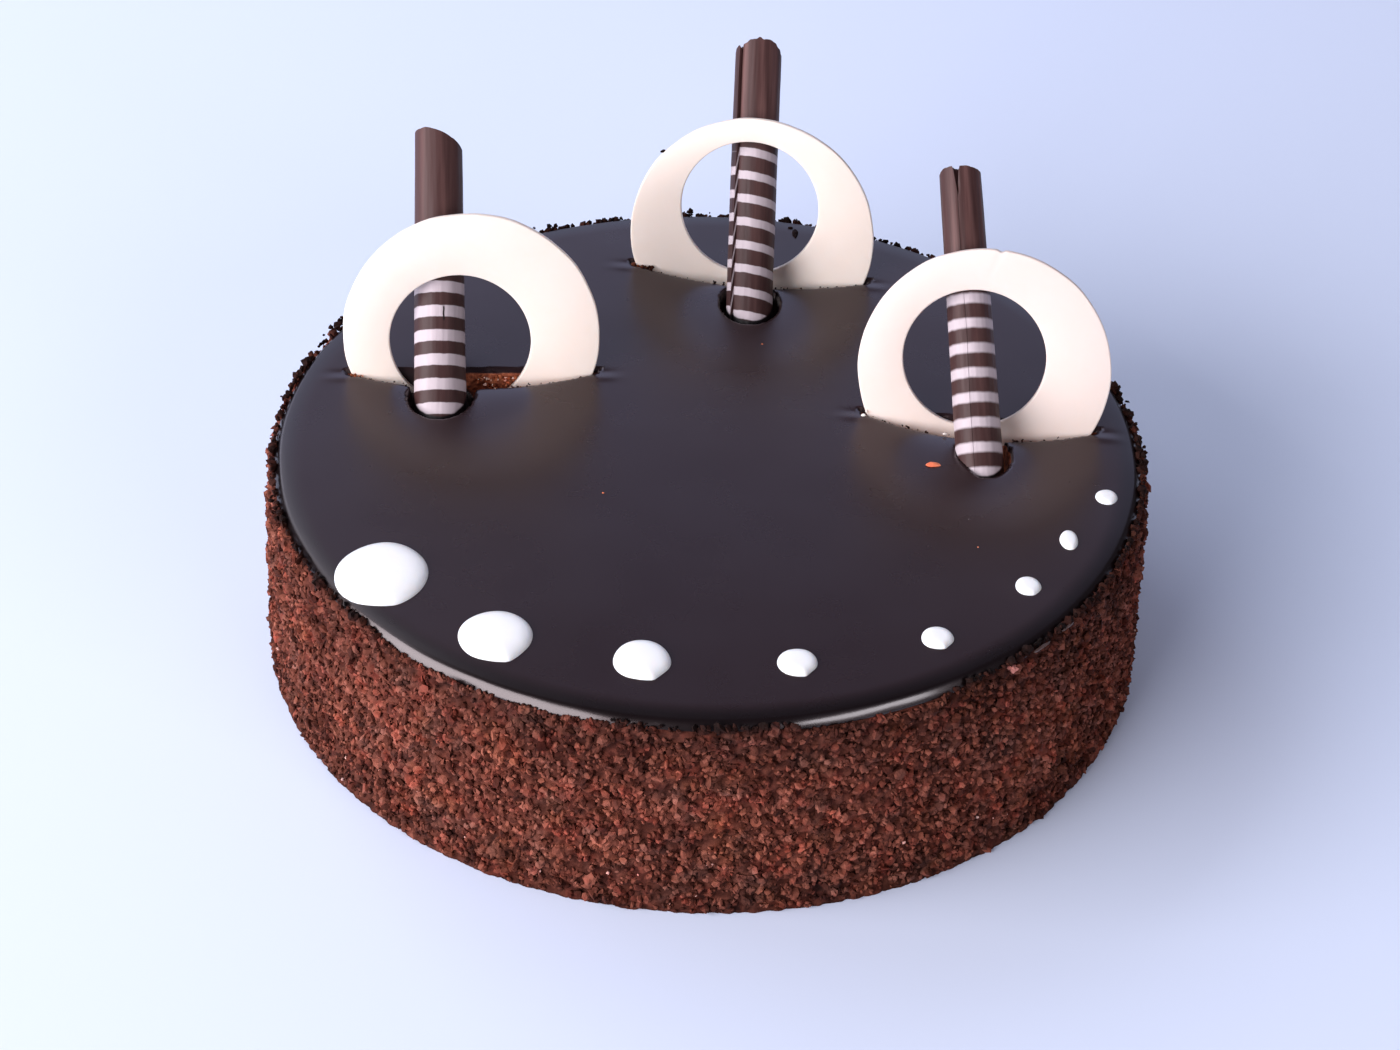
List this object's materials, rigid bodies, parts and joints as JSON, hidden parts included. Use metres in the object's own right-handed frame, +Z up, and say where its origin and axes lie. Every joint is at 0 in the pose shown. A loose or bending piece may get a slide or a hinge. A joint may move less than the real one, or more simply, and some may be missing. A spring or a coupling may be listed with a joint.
{
  "type": "chocolate cake",
  "caption": "Round chocolate cake with a crumb-coated side, a dark mirror glaze, upright white ring plates, striped rolled chocolate sticks leaning through them and white drops along the front",
  "frame": {"origin": "centre of the cake's flat base, on the surface it stands on", "axes": "+Z up, -Y towards the front, where the row of white drops is; +X to the right seen from the front"},
  "size_m": [0.2077, 0.2073, 0.1035],
  "materials": {
    "crumb": "rough dark chocolate crumb",
    "glaze": "near-black set mirror glaze",
    "white_chocolate": "cream white chocolate, satin",
    "rolled_chocolate": "milky dark chocolate with white bands on the lower part",
    "white_icing": "smooth white icing"
  },
  "bodies": {
    "root": {"cake_body": "crumb", "glaze": "glaze", "ring_left": "white_chocolate", "ring_centre": "white_chocolate", "ring_right": "white_chocolate", "stick_left": "rolled_chocolate", "stick_centre": "rolled_chocolate", "stick_right": "rolled_chocolate", "drop_1": "white_icing", "drop_2": "white_icing", "drop_3": "white_icing", "drop_4": "white_icing", "drop_5": "white_icing", "drop_6": "white_icing", "drop_7": "white_icing", "drop_8": "white_icing"}
  },
  "joints": []
}
